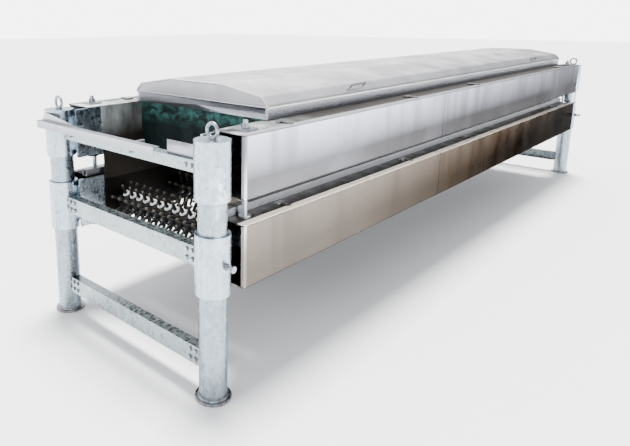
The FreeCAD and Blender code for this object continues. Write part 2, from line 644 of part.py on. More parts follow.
def belts(name, first, axis):
    """Flat belts that join each roller to the next, in two planes by turns."""
    pieces = []
    inner = size("groove_radius") + size("belt_gap")
    outer = inner + size("belt_thickness")
    pitch, width = size("roller_pitch"), size("belt_width")
    wall_out = size("post_pitch_y") / 2 - size("wall_inset") + size("wall_sheet")
    near = -(size("post_pitch_x") + size("foot_radius") - size("gutter_reach")) / 2

    def loop(radius):
        straight = Part.makeBox(pitch, width, 2 * radius, FreeCAD.Vector(0, 0, -radius))
        ends = [Part.makeCylinder(radius, width, FreeCAD.Vector(x, 0, 0), FreeCAD.Vector(0, 1, 0))
                for x in (0, pitch)]
        return straight.multiFuse(ends).removeSplitter()

    ring = loop(outer).cut(loop(inner))
    for i in range(len(roller_places(first)) - 1):
        plane = i % 2 * (size("groove_width") + size("pulley_flange"))
        side_play = (size("groove_width") - width) / 2
        y = -(wall_out + size("pulley_offset") + size("pulley_flange") + plane + side_play + width)
        item = doc.addObject("Part::Feature", f"{name}_{i}")
        item.Shape = ring
        place(item, near + size(first) + i * pitch, y, axis)
        pieces.append(item)
    node(name, grouped(f"{name}_group", pieces))


def gearmotor(name, first, axis):
    """A hollow-shaft gearbox on the last roller's left end, with its motor along the machine."""
    x = f"{NEAR} + {roller_places(first)[-1]}"
    seat = f"{WALL_OUT} + bearing_width"
    face = f"{seat} + gearbox_seat"
    middle = f"{face} + gearbox_width / 2"
    body = fused(f"{name}_body", [
        block(f"{name}_case", (f"{x} - gearbox_half", f"{x} + gearbox_half"),
              (face, f"{face} + gearbox_width"), (f"{axis} - gearbox_rise", f"{axis} + gearbox_rise")),
        rod(f"{name}_flange", "y", x, seat, axis, "gearbox_seat", "gearbox_flange"),
        rod(f"{name}_motor", "x", f"{x} - gearbox_half - motor_length", middle, axis, "motor_length",
            "motor_radius")])
    bore = rod(f"{name}_bore", "y", x, seat, axis, "gearbox_seat + gearbox_width",
               "shaft_radius + shaft_gap")
    node(name, cut(f"{name}_cut", body, [bore]))


# The levelling spindles stand on the lower box and pass through the upper box's flanges.

def spindles():
    low = f"(lower_casing_top - {LIP})"
    under, over = f"(upper_casing_base + {LIP})", f"(upper_casing_top - {LIP})"
    posts, nuts, holes = [], [], []
    for end_name, end, side_name, side in POSTS:
        x = inward(end, "spindle_place")
        y = f"{side} * ({POST} - spindle_inset)"
        tag = f"spindle_{end_name}_{side_name}"
        posts.append(fused(tag, [
            rod(f"{tag}_rod", "z", x, y, low, f"spindle_top - {low}", "spindle_radius"),
            rod(f"{tag}_foot", "z", x, y, low, "plate_sheet", "spindle_foot")]))
        for part, base, up in (("upper", over, 1), ("lower", under, -1)):
            plate_z = (base, f"{base} + plate_sheet") if up > 0 else (f"{base} - plate_sheet", base)
            nut_z = f"{base} + plate_sheet" if up > 0 else f"{base} - plate_sheet - spindle_nut"
            plate = block(f"{tag}_{part}_plate", (f"{x} - spindle_plate", f"{x} + spindle_plate"),
                          (f"{y} - spindle_plate", f"{y} + spindle_plate"), plate_z)
            nut = hexagon(f"{tag}_{part}_nut", "z", x, y, nut_z, "spindle_nut", "spindle_hex")
            bore = rod(f"{tag}_{part}_bore", "z", x, y, f"{base} - plate_sheet - spindle_nut",
                       "2 * (plate_sheet + spindle_nut)", "spindle_radius + spindle_gap")
            nuts.append(cut(f"{tag}_{part}", fused(f"{tag}_{part}_solid", [plate, nut]), [bore]))
        holes.append(rod(f"{tag}_hole", "z", x, y, "upper_casing_base",
                         "upper_casing_top - upper_casing_base", "spindle_hole"))
    node("spindles", grouped("spindle_group", posts))
    return nuts, holes


def side_rails():
    """Square tubes that lie on the lower box's flanges, open at their ends."""
    base = f"(lower_casing_top - {LIP})"
    outer = f"({POST} - rail_inset)"
    x = (f"{NEAR} + rail_start", f"{FAR} - rail_start")
    rails = []
    for side_name, side in SIDES:
        bar = block(f"rail_{side_name}_bar", x, sideways(side, f"{outer} - rail_size", outer),
                    (base, f"{base} + rail_size"))
        bore = block(f"rail_{side_name}_bore", x,
                     sideways(side, f"{outer} - rail_size + rail_wall", f"{outer} - rail_wall"),
                     (f"{base} + rail_wall", f"{base} + rail_size - rail_wall"))
        rails.append(cut(f"rail_{side_name}", bar, [bore]))
    node("side_rails", grouped("side_rail_group", rails))


# The lid: a domed sheet cover on a frame round the upper box's opening, hinged on the left.

CURB_X = (f"({NEAR} + curb_start)", f"({FAR} - curb_end)")
CURB_OUT = f"({WALL} + curb_width)"
HINGE_Y = f"({CURB_OUT} + hinge_offset)"
HINGE_Z = "(curb_top + lid_lift)"
HINGE_PLACES = [f"{NEAR} + 460", f"{NEAR} + 1740", f"{FAR} - 1580", f"{FAR} - 240"]


def lid_curb():
    """Four bars butted into a frame, the left one with the hinge lugs and pins welded on."""
    z = (f"(upper_casing_top - {LIP})", "curb_top")
    across = (f"-{WALL}", WALL)
    right, left = [block(f"curb_{side_name}", CURB_X, sideways(side, WALL, CURB_OUT), z)
                   for side_name, side in SIDES]
    near = block("curb_near", (CURB_X[0], f"{CURB_X[0]} + curb_width"), across, z)
    far = block("curb_far", (f"{CURB_X[1]} - curb_width", CURB_X[1]), across, z)
    inner, outer = "(hinge_half + lug_gap)", "(hinge_half + lug_gap + hinge_lug)"
    foot_z = (f"{HINGE_Z} - hinge_lug_radius", f"{HINGE_Z} - lid_gap")
    hinged = [left]
    for i, x in enumerate(HINGE_PLACES):
        spans = (f"{x} - {outer}", f"{x} - {inner}"), (f"{x} + {inner}", f"{x} + {outer}")
        for way, span in zip("ab", spans):
            hinged.append(block(f"hinge_{i}_foot_{way}", span, (CURB_OUT, HINGE_Y), foot_z))
            hinged.append(rod(f"hinge_{i}_lug_{way}", "x", span[0], HINGE_Y, HINGE_Z, "hinge_lug",
                              "hinge_lug_radius"))
        hinged.append(rod(f"hinge_{i}_pin", "x", spans[0][0], HINGE_Y, HINGE_Z, f"2 * {outer}",
                          "pin_radius"))
    node("lid_curb", grouped("curb_frame", [right, fused("curb_hinged", hinged), near, far]))


def lid():
    """A pan, a flank on each side and an end plate inside each end, welded edge to edge."""
    rim = f"({CURB_OUT} + lid_gap + lid_sheet)"
    rim_in = f"({rim} - lid_sheet)"
    shoulder = f"({rim} - lid_shoulder)"
    shoulder_in = f"({shoulder} - lid_sheet / 2)"
    start = f"({CURB_X[0]} - lid_end_gap - lid_sheet)"
    end = f"({CURB_X[1]} + lid_end_gap + lid_sheet)"
    over = [(f"-{shoulder}", "lid_shoulder_top"), ("-lid_flat_half", "lid_top"),
            ("lid_flat_half", "lid_top"), (shoulder, "lid_shoulder_top")]
    under = [(f"-{shoulder_in}", "lid_shoulder_top - lid_sheet"), ("-lid_flat_half", "lid_top - lid_sheet"),
             ("lid_flat_half", "lid_top - lid_sheet"), (shoulder_in, "lid_shoulder_top - lid_sheet")]
    sheets = [profile("lid_pan", "YZ_Plane", over + under[::-1], f"{end} - {start}")]
    for side_name, side, base in (("right", "-1", "lid_rim_base"), ("left", "1", HINGE_Z)):
        flank = [(rim, base), (rim, "lid_rim_top"), (shoulder, "lid_shoulder_top"),
                 (shoulder_in, "lid_shoulder_top - lid_sheet"), (rim_in, "lid_rim_top"), (rim_in, base)]
        corners = [(f"{side} * {across}", up) for across, up in flank]
        sheets.append(profile(f"lid_flank_{side_name}", "YZ_Plane", corners, f"{end} - {start}"))
    for sheet_body in sheets:
        bind(sheet_body, Placement__Base__x=start)
    inside_end = [(f"-{rim_in}", HINGE_Z), (f"-{rim_in}", "lid_rim_top")] + under
    inside_end += [(rim_in, "lid_rim_top"), (rim_in, HINGE_Z)]
    for way, x in (("near", start), ("far", f"{end} - lid_sheet")):
        plate = profile(f"lid_end_{way}", "YZ_Plane", inside_end, "lid_sheet")
        bind(plate, Placement__Base__x=x)
        sheets.append(plate)
    node("lid_shell", grouped("lid_sheets", sheets))
    straps = []
    for i, x in enumerate(HINGE_PLACES):
        span = (f"{x} - hinge_half", f"{x} + hinge_half")
        knuckle = rod(f"knuckle_{i}", "x", span[0], HINGE_Y, HINGE_Z, "2 * hinge_half", "hinge_radius")
        strap = block(f"strap_{i}", span, (rim, HINGE_Y), (HINGE_Z, "lid_rim_top"))
        bore = rod(f"knuckle_{i}_bore", "x", span[0], HINGE_Y, HINGE_Z, "2 * hinge_half",
                   "pin_radius + shaft_gap")
        trimmed = block(f"knuckle_{i}_trim", span, (f"{CURB_OUT} - 20", rim),
                        (f"{HINGE_Z} - 20", "lid_top"))
        straps.append(cut(f"hinge_strap_{i}", fused(f"hinge_leaf_{i}", [knuckle, strap]), [bore, trimmed]))
    return straps


HANDLE_PLACES = [f"{NEAR} + 1075", f"{FAR} - 860"]


def lid_handles():
    """Two bar handles on the lid's lower right facet, their feet flat on the sheet."""
    wall = size("post_pitch_y") / 2 - size("wall_inset")
    rim = wall + size("curb_width") + size("lid_gap") + size("lid_sheet")
    across, rise = size("lid_shoulder"), size("lid_shoulder_top") - size("lid_rim_top")
    slope = math.degrees(math.atan2(rise, across))
    radius, reach, half = size("handle_radius"), size("handle_reach"), size("handle_half")
    feet = [Part.makeCylinder(radius, reach, FreeCAD.Vector(x, 0, 0)) for x in (-half, half)]
    ends = [Part.makeSphere(radius, FreeCAD.Vector(x, 0, reach)) for x in (-half, half)]
    bar = Part.makeCylinder(radius, 2 * half, FreeCAD.Vector(-half, 0, reach), FreeCAD.Vector(1, 0, 0))
    shape = bar.multiFuse(feet + ends)
    handles = []
    for i, x in enumerate(HANDLE_PLACES):
        item = doc.addObject("Part::Feature", f"handle_{i}")
        item.Shape = shape
        item.Placement.Rotation = FreeCAD.Rotation(FreeCAD.Vector(1, 0, 0), slope)
        place(item, x, -(rim - across / 2), size("lid_rim_top") + rise / 2)
        handles.append(item)
    return handles


# The entry end: a rubber curtain under the lid's frame, a hand rail and a guide plate on the beam.

def entry():
    x = f"({NEAR} + curtain_start)"
    node("curtain", block("curtain_sheet_body", (x, f"{x} + curtain_sheet"),
                          (f"-({WALL} - curtain_gap)", f"{WALL} - curtain_gap"),
                          ("curtain_base", f"upper_casing_top - {LIP} - hang_gap")))
    face, rear = f"({NEAR} - gutter_reach)", f"({NEAR} - {SLEEVE} - gutter_gap)"
    under = "(gutter_top - gutter_sheet)"
    corners = [(face, "gutter_base"), (face, "gutter_top"), (rear, "gutter_top"), (rear, under),
               (f"{face} + gutter_sheet", under), (f"{face} + gutter_sheet", "gutter_base")]
    angle = profile("hand_rail_angle", "XZ_Plane", corners, "gutter_left + gutter_right")
    bind(angle, Placement__Base__y="gutter_left")
    taper = [("-gutter_left", under), (f"-{POST}", "gutter_upstand"),
             ("gutter_right - gutter_left", "gutter_top"), ("gutter_right - gutter_left", under)]
    taper = [(f"-({across})", up) for across, up in taper]
    upstand = profile("hand_rail_upstand", "YZ_Plane", taper, "gutter_sheet")
    bind(upstand, Placement__Base__x=f"{rear} - gutter_sheet")
    arms = []
    for i, y in enumerate(("gutter_left / 2", "-gutter_right / 2")):
        thick = (f"{y} - beam_sheet", f"{y} + beam_sheet")
        arms.append(block(f"hand_rail_arm_{i}", (f"{face} + gutter_sheet", f"{NEAR} - beam_face"), thick,
                          ("top_beam_top - beam_sheet", under)))
    rail = fused("hand_rail_fused", [angle, upstand] + arms)
    plate_x = (f"{NEAR} - guide_sheet / 2", f"{NEAR} + guide_sheet / 2")
    plate = block("guide_plate_body", plate_x, (f"-({POST} - {SLEEVE})", "-guide_left"),
                  ("top_beam_top", "guide_top"))
    node("entry_guides", grouped("entry_guide_group", [rail, plate]))


def build():
    columns()
    lower_sleeves()
    eyes_and_bolts = upper_sleeves()
    nuts, holes = spindles()
    node("upper_fasteners", grouped("upper_fastener_group", eyes_and_bolts + nuts))
    walls("lower_walls", "lower_casing_base", "lower_casing_top", "lower_first", "lower_axis",
          f"lower_casing_base + {LIP} + tie_inset", [])
    walls("upper_walls", "upper_casing_base", "upper_casing_top", "upper_first", "upper_axis",
          f"upper_casing_top - {LIP} - tie_inset", holes, f"(lower_casing_top - {LIP} - skirt_lap)")
    covers("lower", "lower_casing_base", "lower_casing_top")
    covers("upper", "upper_casing_base", "upper_casing_top")
    clips("lower_clips", [(f"(lower_casing_top - {LIP})", "lower_casing_top", 1)])
    clips("upper_clips", [(f"(upper_casing_top - {LIP})", "upper_casing_top", 1),
                          (f"(upper_casing_base + {LIP})", "upper_casing_base", -1)])
    side_rails()
    for name in ("lower", "upper"):
        rollers(f"{name}_roller", f"{name}_first", f"{name}_axis")
        bearings(f"{name}_bearings", f"{name}_first", f"{name}_axis")
        belts(f"{name}_belts", f"{name}_first", f"{name}_axis")
        gearmotor(f"{name}_gearmotor", f"{name}_first", f"{name}_axis")
    lid_curb()
    straps = lid()
    node("lid_fittings", grouped("lid_fitting_group", straps + lid_handles()))
    entry()


build()
doc.recompute()
for item in doc.Objects:
    if "Invalid" in item.State or "Error" in item.State:
        raise RuntimeError(f"{item.Name} failed to build: {item.State}")
for label, item in nodes.items():
    if item.Shape.isNull() or not item.Shape.isValid():
        raise RuntimeError(f"{label} has no valid shape")
os.makedirs("parts", exist_ok=True)
for label, item in nodes.items():
    item.Shape.exportStep(f"parts/{label}.step")
    print(label, len(item.Shape.Solids), "solids")
print(len(nodes), "nodes")
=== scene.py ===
import math
import random

import bmesh
import bpy
from mathutils import Euler, Matrix, Vector, noise


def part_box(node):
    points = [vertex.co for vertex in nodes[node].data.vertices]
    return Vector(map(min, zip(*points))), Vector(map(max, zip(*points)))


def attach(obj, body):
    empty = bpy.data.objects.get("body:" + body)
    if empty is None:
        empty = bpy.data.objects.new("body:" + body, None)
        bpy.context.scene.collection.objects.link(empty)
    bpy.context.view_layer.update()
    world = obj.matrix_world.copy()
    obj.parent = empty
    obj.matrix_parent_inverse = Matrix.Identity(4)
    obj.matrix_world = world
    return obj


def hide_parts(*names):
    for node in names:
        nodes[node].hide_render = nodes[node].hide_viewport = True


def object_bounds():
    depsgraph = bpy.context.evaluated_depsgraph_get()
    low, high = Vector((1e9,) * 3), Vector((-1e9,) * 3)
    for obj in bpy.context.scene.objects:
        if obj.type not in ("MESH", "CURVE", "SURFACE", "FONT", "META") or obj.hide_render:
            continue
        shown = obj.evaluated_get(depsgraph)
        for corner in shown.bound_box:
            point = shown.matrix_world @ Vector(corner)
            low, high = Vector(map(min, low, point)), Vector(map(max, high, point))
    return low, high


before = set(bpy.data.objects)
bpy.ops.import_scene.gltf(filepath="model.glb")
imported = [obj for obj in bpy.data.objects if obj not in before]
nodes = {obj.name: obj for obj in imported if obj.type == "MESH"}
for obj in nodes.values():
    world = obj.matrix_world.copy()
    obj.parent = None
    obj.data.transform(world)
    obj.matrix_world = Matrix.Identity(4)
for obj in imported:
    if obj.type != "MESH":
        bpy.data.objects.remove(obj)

cad_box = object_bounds()

# The view: the machine stands on a white studio floor and is seen from its entry end's right
# corner. A broad lamp almost overhead puts the shadow under it, a pale one fills in the entry,
# and a narrow strip reaches into the slot between the two boxes.

camera_data = bpy.data.cameras.new("camera")
camera_data.sensor_width = 36
camera_data.lens = 32.859
camera_data.shift_x = 0.157
camera_data.shift_y = -0.1228
camera_data.clip_end = 200
camera = bpy.data.objects.new("camera", camera_data)
camera.location = (-3.6526, -1.8638, 1.3936)
camera.rotation_euler = Euler([math.radians(angle) for angle in (77.676, 0.102, -45.476)])
bpy.context.scene.collection.objects.link(camera)
bpy.context.scene.camera = camera


def lamp(name, place, aim, size, watts, colour, spread=180):
    data = bpy.data.lights.new(name, "AREA")
    data.shape = "RECTANGLE"
    data.size, data.size_y = size
    data.energy = watts
    data.color = colour
    data.spread = math.radians(spread)
    light = bpy.data.objects.new(name, data)
    light.location = place
    light.rotation_euler = (Vector(aim) - Vector(place)).to_track_quat("-Z", "Y").to_euler()
    bpy.context.scene.collection.objects.link(light)


lamp("front_fill", (-5.4, -3.2, 2.4), (-2.0, 0.0, 0.5), (2.0, 2.4), 40, (0.93, 0.97, 1.0))
lamp("gap_strip", (0.0, -2.6, 1.36), (0.0, -0.56, 0.745), (4.8, 0.05), 45, (1.0, 0.99, 0.97), 10)
overhead = bpy.data.lights.new("overhead", "SUN")
overhead.energy = 10.5
overhead.angle = math.radians(16)
overhead_lamp = bpy.data.objects.new("overhead", overhead)
overhead_lamp.rotation_euler = (math.radians(-7), math.radians(10), 0)
bpy.context.scene.collection.objects.link(overhead_lamp)

world = bpy.data.worlds.new("studio")
bpy.context.scene.world = world
world.use_nodes = True
sky = world.node_tree
dim = sky.nodes["Background"]
direction = sky.nodes.new("ShaderNodeTexCoord")
height = sky.nodes.new("ShaderNodeSeparateXYZ")
bands = sky.nodes.new("ShaderNodeValToRGB")
sky.links.new(direction.outputs["Generated"], height.inputs[0])
sky.links.new(height.outputs["Z"], bands.inputs["Fac"])
bands.color_ramp.elements[0].color = (0.20, 0.20, 0.21, 1)
bands.color_ramp.elements[1].color = (1.0, 1.0, 1.0, 1)
for position, shade in ((0.10, (0.18, 0.18, 0.20)), (0.50, (0.80, 0.84, 0.92))):
    bands.color_ramp.elements.new(position).color = (*shade, 1)
backdrop = sky.nodes.new("ShaderNodeMapRange")
backdrop.inputs["From Min"].default_value = 0.15
backdrop.inputs["From Max"].default_value = 0.55
sky.links.new(height.outputs["Y"], backdrop.inputs["Value"])
behind = sky.nodes.new("ShaderNodeMix")
behind.data_type = "RGBA"
behind.inputs[7].default_value = (1.5, 1.5, 1.56, 1)
sky.links.new(backdrop.outputs["Result"], behind.inputs[0])
sky.links.new(bands.outputs["Color"], behind.inputs[6])
sky.links.new(behind.outputs[2], dim.inputs["Color"])
dim.inputs["Strength"].default_value = 1.35
bright = sky.nodes.new("ShaderNodeBackground")
bright.inputs["Color"].default_value = (1, 1, 1, 1)
bright.inputs["Strength"].default_value = 6.0
seen = sky.nodes.new("ShaderNodeLightPath")
either = sky.nodes.new("ShaderNodeMixShader")
sky.links.new(seen.outputs["Is Camera Ray"], either.inputs[0])
sky.links.new(dim.outputs[0], either.inputs[1])
sky.links.new(bright.outputs[0], either.inputs[2])
sky.links.new(either.outputs[0], sky.nodes["World Output"].inputs["Surface"])

ground = bmesh.new()
bmesh.ops.create_grid(ground, x_segments=1, y_segments=1, size=40)
floor_mesh = bpy.data.meshes.new("floor")
ground.to_mesh(floor_mesh)
ground.free()
floor = bpy.data.objects.new("floor", floor_mesh)
bpy.context.scene.collection.objects.link(floor)
floor_paint = bpy.data.materials.new("floor_paint")
floor_paint.use_nodes = True
floor_shader = floor_paint.node_tree.nodes["Principled BSDF"]
floor_shader.inputs["Base Color"].default_value = (0.96, 0.96, 0.96, 1)
floor_shader.inputs["Roughness"].default_value = 0.9
floor_shader.inputs["Specular IOR Level"].default_value = 0.1
floor_mesh.materials.append(floor_paint)


# The columns: four galvanised steel tubes, each with a round foot plate welded on below.
# The zinc shows spangles, runs from the dip and some rust on the foot's sawn edge.

class Recipe:
    """A metal, rubber or paint, put together from patterns that follow the piece."""

    def __init__(self, name, metallic, **sockets):
        self.material = bpy.data.materials.new(name)
        self.material.use_nodes = True
        self.tree = self.material.node_tree
        self.shader = self.tree.nodes["Principled BSDF"]
        self.shader.inputs["Metallic"].default_value = metallic
        for socket, value in sockets.items():
            self.shader.inputs[socket.replace("_", " ")].default_value = value
        self.place = self.add("ShaderNodeTexCoord").outputs["Object"]
        self.relief = None

    def add(self, kind, **values):
        made = self.tree.nodes.new(kind)
        for key, value in values.items():
            setattr(made, key, value)
        return made

    def link(self, source, socket):
        self.tree.links.new(source, socket)

    def stretched(self, scale):
        """The piece's own coordinates, closer together along an axis where scale is larger."""
        mapping = self.add("ShaderNodeMapping")
        mapping.inputs["Scale"].default_value = scale
        self.link(self.place, mapping.inputs["Vector"])
        return mapping.outputs["Vector"]

    def cloud(self, scale, detail=3, rough=0.5, warp=0.0):
        """A soft noise from 0 to 1, scale in patterns per metre along each axis."""
        pattern = self.add("ShaderNodeTexNoise")
        pattern.inputs["Scale"].default_value = 1
        pattern.inputs["Detail"].default_value = detail
        pattern.inputs["Roughness"].default_value = rough
        pattern.inputs["Distortion"].default_value = warp
        self.link(self.stretched(scale), pattern.inputs["Vector"])
        return pattern.outputs["Fac"]

    def cells(self, scale):
        """Crystals of an even random colour each, scale in crystals per metre."""
        pattern = self.add("ShaderNodeTexVoronoi", feature="F1")
        pattern.inputs["Scale"].default_value = 1
        self.link(self.stretched(scale), pattern.inputs["Vector"])
        return pattern.outputs["Color"]

    def band(self, source, low, high, start=0.0, end=1.0):
        """A source taken from low..high to start..end, and held at both."""
        ramp = self.add("ShaderNodeMapRange", clamp=True)
        for socket, value in zip(("From Min", "From Max", "To Min", "To Max"), (low, high, start, end)):
            ramp.inputs[socket].default_value = value
        self.link(source, ramp.inputs["Value"])
        return ramp.outputs["Result"]

    def along(self, axis, low, high):
        """How far a point is from low to high along an axis of the piece, in metres."""
        parts = self.add("ShaderNodeSeparateXYZ")
        self.link(self.place, parts.inputs[0])
        return self.band(parts.outputs[axis], low, high)

    def mixed(self, share, first, second):
        """Two colours, or colour and pattern, mixed by a share from 0 to 1."""
        mix = self.add("ShaderNodeMix", data_type="RGBA")
        for socket, value in ((mix.inputs[6], first), (mix.inputs[7], second)):
            if isinstance(value, tuple):
                socket.default_value = (*value, 1)
            else:
                self.link(value, socket)
        self.link(share, mix.inputs[0])
        return mix.outputs[2]

    def times(self, first, second):
        product = self.add("ShaderNodeMath", operation="MULTIPLY")
        for socket, value in zip(product.inputs, (first, second)):
            self.link(value, socket)
        return product.outputs[0]

    def colour(self, source):
        self.link(source, self.shader.inputs["Base Color"])

    def roughness(self, source):
        self.link(source, self.shader.inputs["Roughness"])

    def bump(self, source, depth):
        """Relief of that depth in metres from a pattern, laid over any relief before it."""
        relief = self.add("ShaderNodeBump")
        relief.inputs["Strength"].default_value = 1
        relief.inputs["Distance"].default_value = depth
        self.link(source, relief.inputs["Height"])
        if self.relief:
            self.link(self.relief, relief.inputs["Normal"])
        self.relief = relief.outputs["Normal"]
        self.link(self.relief, self.shader.inputs["Normal"])


def galvanised(name, tint, streaks=9.0, rust_below=None):
    """Hot-dip zinc: crystal spangles about 12 mm across, satin vertical runs and a dull bloom."""
    zinc = Recipe(name, 1.0)
    spangle = zinc.cells((85, 85, 60))
    runs = zinc.cloud((60, 60, streaks), 4, 0.6)
    bloom = zinc.cloud((7, 7, 3), 3)
    dark = tuple(0.55 * shade for shade in tint)
    grey = zinc.mixed(zinc.band(runs, 0.42, 0.72), tint, dark)
    crystal = zinc.mixed(zinc.band(spangle, 0.1, 0.9), grey, tuple(1.25 * shade for shade in tint))
    surface = zinc.mixed(zinc.band(bloom, 0.45, 0.75, 0, 0.4), crystal,
                         tuple(1.4 * shade for shade in tint))
    if rust_below is not None:
        near_floor = zinc.along("Z", rust_below, 0.0)
        patches = zinc.times(near_floor, zinc.band(zinc.cloud((60, 60, 40), 4), 0.42, 0.62))
        surface = zinc.mixed(patches, surface, (0.26, 0.14, 0.11))
    zinc.colour(surface)
    zinc.roughness(zinc.band(spangle, 0.0, 1.0, 0.22, 0.36))
    zinc.bump(runs, 0.00006)
    zinc.bump(zinc.cloud((400, 400, 400), 2), 0.00008)
    return zinc.material


def finished(name, shape, material, body, stands_for=(), round_under=35, flat_faces=True):
    """Makes a shape a piece of the object, with smooth shading up to the given angle."""
    bmesh.ops.remove_doubles(shape, verts=shape.verts, dist=1e-6)
    mesh = bpy.data.meshes.new(name)
    shape.to_mesh(mesh)
    shape.free()
    mesh.shade_smooth()
    mesh.set_sharp_from_angle(angle=math.radians(round_under))
    mesh.materials.append(material)
    piece = bpy.data.objects.new(name, mesh)
    bpy.context.scene.collection.objects.link(piece)
    if flat_faces:
        even = piece.modifiers.new("even_flats", "WEIGHTED_NORMAL")
        even.keep_sharp = True
        even.weight = 100
    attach(piece, body)
    if stands_for:
        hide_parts(*stands_for)
    return piece


def turned(shape, outline, place, axis="Z", steps=48):
    """Spins an outline of (radius, height) points about an axis and puts it in place."""
    points = [shape.verts.new((radius, 0, height)) for radius, height in outline]
    edges = [shape.edges.new(pair) for pair in zip(points, points[1:])]
    bmesh.ops.spin(shape, geom=points + edges, cent=(0, 0, 0), axis=(0, 0, 1),
                   angle=2 * math.pi, steps=steps, use_merge=True)
    verts = list({vert for face in shape.faces if not face.tag for vert in face.verts})
    bmesh.ops.remove_doubles(shape, verts=verts, dist=1e-6)
    fresh = [face for face in shape.faces if not face.tag]
    bmesh.ops.recalc_face_normals(shape, faces=fresh)
    turn = {"Z": Matrix(), "Y": Matrix.Rotation(-math.pi / 2, 4, "X"),
            "X": Matrix.Rotation(math.pi / 2, 4, "Y")}[axis]
    verts = list({vert for face in fresh for vert in face.verts})
    bmesh.ops.transform(shape, matrix=Matrix.Translation(place) @ turn, verts=verts)
    for face in fresh:
        face.tag = True


def bevelled(shape, edges, radius, steps, clamp=False):
    bmesh.ops.bevel(shape, geom=edges, offset=radius, offset_type="OFFSET", affect="EDGES",
                    segments=steps, profile=0.5, material=-1, clamp_overlap=clamp)


def middle(node):
    low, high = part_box(node)
    return (low + high) / 2


near_x = middle("column_near_right").x
far_x = middle("column_far_right").x
tube, tube_wall, tube_top = 0.054, 0.006, 0.870
foot_radius, foot_top = 0.0705, 0.010
lug_thick, lug_wide, lug_trim = 0.008, 0.080, 0.008
lug_shift, lug_reach = 0.011, 0.034
post_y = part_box("column_near_left")[1].y - foot_radius

column_zinc = galvanised("galvanised_tube", (0.27, 0.32, 0.36), streaks=4.0, rust_below=0.030)
corners = {"near_right": (near_x, -post_y), "near_left": (near_x, post_y),
           "far_right": (far_x, -post_y), "far_left": (far_x, post_y)}
for corner, (x, y) in corners.items():
    column = bmesh.new()
    weld = [(tube + 0.006 * math.cos(a), foot_top + 0.0055 * math.sin(a) + 0.0005)
            for a in (0.0, 0.5, 1.0, 1.5)]
    turned(column, [(0, 0.0), (foot_radius - 0.0015, 0.0), (foot_radius, 0.0015),
                    (foot_radius, foot_top - 0.002), (foot_radius - 0.002, foot_top), *weld,
                    (tube, foot_top + 0.010), (tube, 0.30), (tube, 0.60), (tube, tube_top - 0.001),
                    (tube - 0.001, tube_top), (tube - tube_wall, tube_top), (tube - tube_wall, 0.02),
                    (0, 0.02)], (x, y, 0), steps=64)
    beam_low, beam_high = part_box("base_beams")
    lug = bmesh.ops.create_cube(column, size=1)["verts"]
    lug_high, lug_low = beam_high.z - lug_trim, beam_low.z + lug_trim
    inward = -math.copysign(1, y)
    bmesh.ops.transform(column, verts=lug, matrix=Matrix.Translation(
        (x + math.copysign(lug_shift, x), y + inward * (tube + lug_reach), (lug_high + lug_low) / 2))
        @ Matrix.Diagonal((lug_thick, lug_wide, lug_high - lug_low, 1)))
    bevelled(column, list({edge for vert in lug for edge in vert.link_edges}), 0.001, 2)
    finished(f"column_{corner}_tube", column, column_zinc, "frame", [f"column_{corner}"])


# The beams: cold-bent galvanised channels between the columns, bolted to lugs on the sleeves
# and on the column tubes. Their sawn edges are broken by hand.


def softened(node, radius, steps=2, sharp=30):
    """A copy of a CAD part with its edges broken."""
    shape = bmesh.new()
    shape.from_mesh(nodes[node].data)
    bmesh.ops.remove_doubles(shape, verts=shape.verts, dist=2e-5)
    bmesh.ops.dissolve_limit(shape, angle_limit=math.radians(2), verts=shape.verts, edges=shape.edges)
    edges = [edge for edge in shape.edges
             if len(edge.link_faces) == 2 and edge.calc_face_angle(0) > math.radians(sharp)]
    bevelled(shape, edges, radius, steps, clamp=True)
    return shape


beam_zinc = galvanised("galvanised_channel", (0.30, 0.35, 0.365), streaks=40.0)
for node in ("base_beams", "mid_beams", "top_beams"):
    body = {"base_beams": "frame", "mid_beams": "lower_box", "top_beams": "upper_box"}[node]
    finished(f"{node}_channel", softened(node, 0.0012), beam_zinc, body, [node])


# The sleeves: thick zinc-plated tubes that slide on the columns, four under the lower box and
# four capped ones under the upper box, with a lug for the beam and a bracket for the wall.

sleeve_zinc = galvanised("galvanised_sleeve", (0.40, 0.47, 0.53), streaks=2.0)
for level, body in (("lower", "lower_box"), ("upper", "upper_box")):
    finished(f"{level}_sleeve_set", softened(f"{level}_sleeves", 0.0022, 3), sleeve_zinc, body,
             [f"{level}_sleeves"])


# The fasteners: zinc-plated hexagon bolts, clamp screws with lock nuts, spindle nuts on square
# plates, and a forged eye bolt on each cap.

def zinc_plate(name, tint):
    """Thin bright zinc plate, stained grey in small patches."""
    plate = Recipe(name, 1.0)
    stain = plate.cloud((180, 180, 180), 4)
    plate.colour(plate.mixed(plate.band(stain, 0.35, 0.75), tint, tuple(0.6 * s for s in tint)))
    plate.roughness(plate.band(stain, 0.3, 0.8, 0.24, 0.45))
    plate.bump(plate.cloud((900, 900, 900), 2), 0.00004)
    return plate.material


bolt_zinc = zinc_plate("bright_zinc", (0.42, 0.45, 0.48))
for node, body in (("frame_bolts", "frame"), ("lower_fasteners", "lower_box"),
                   ("upper_fasteners", "upper_box")):
    finished(f"{node}_plated", softened(node, 0.0007), bolt_zinc, body, [node])
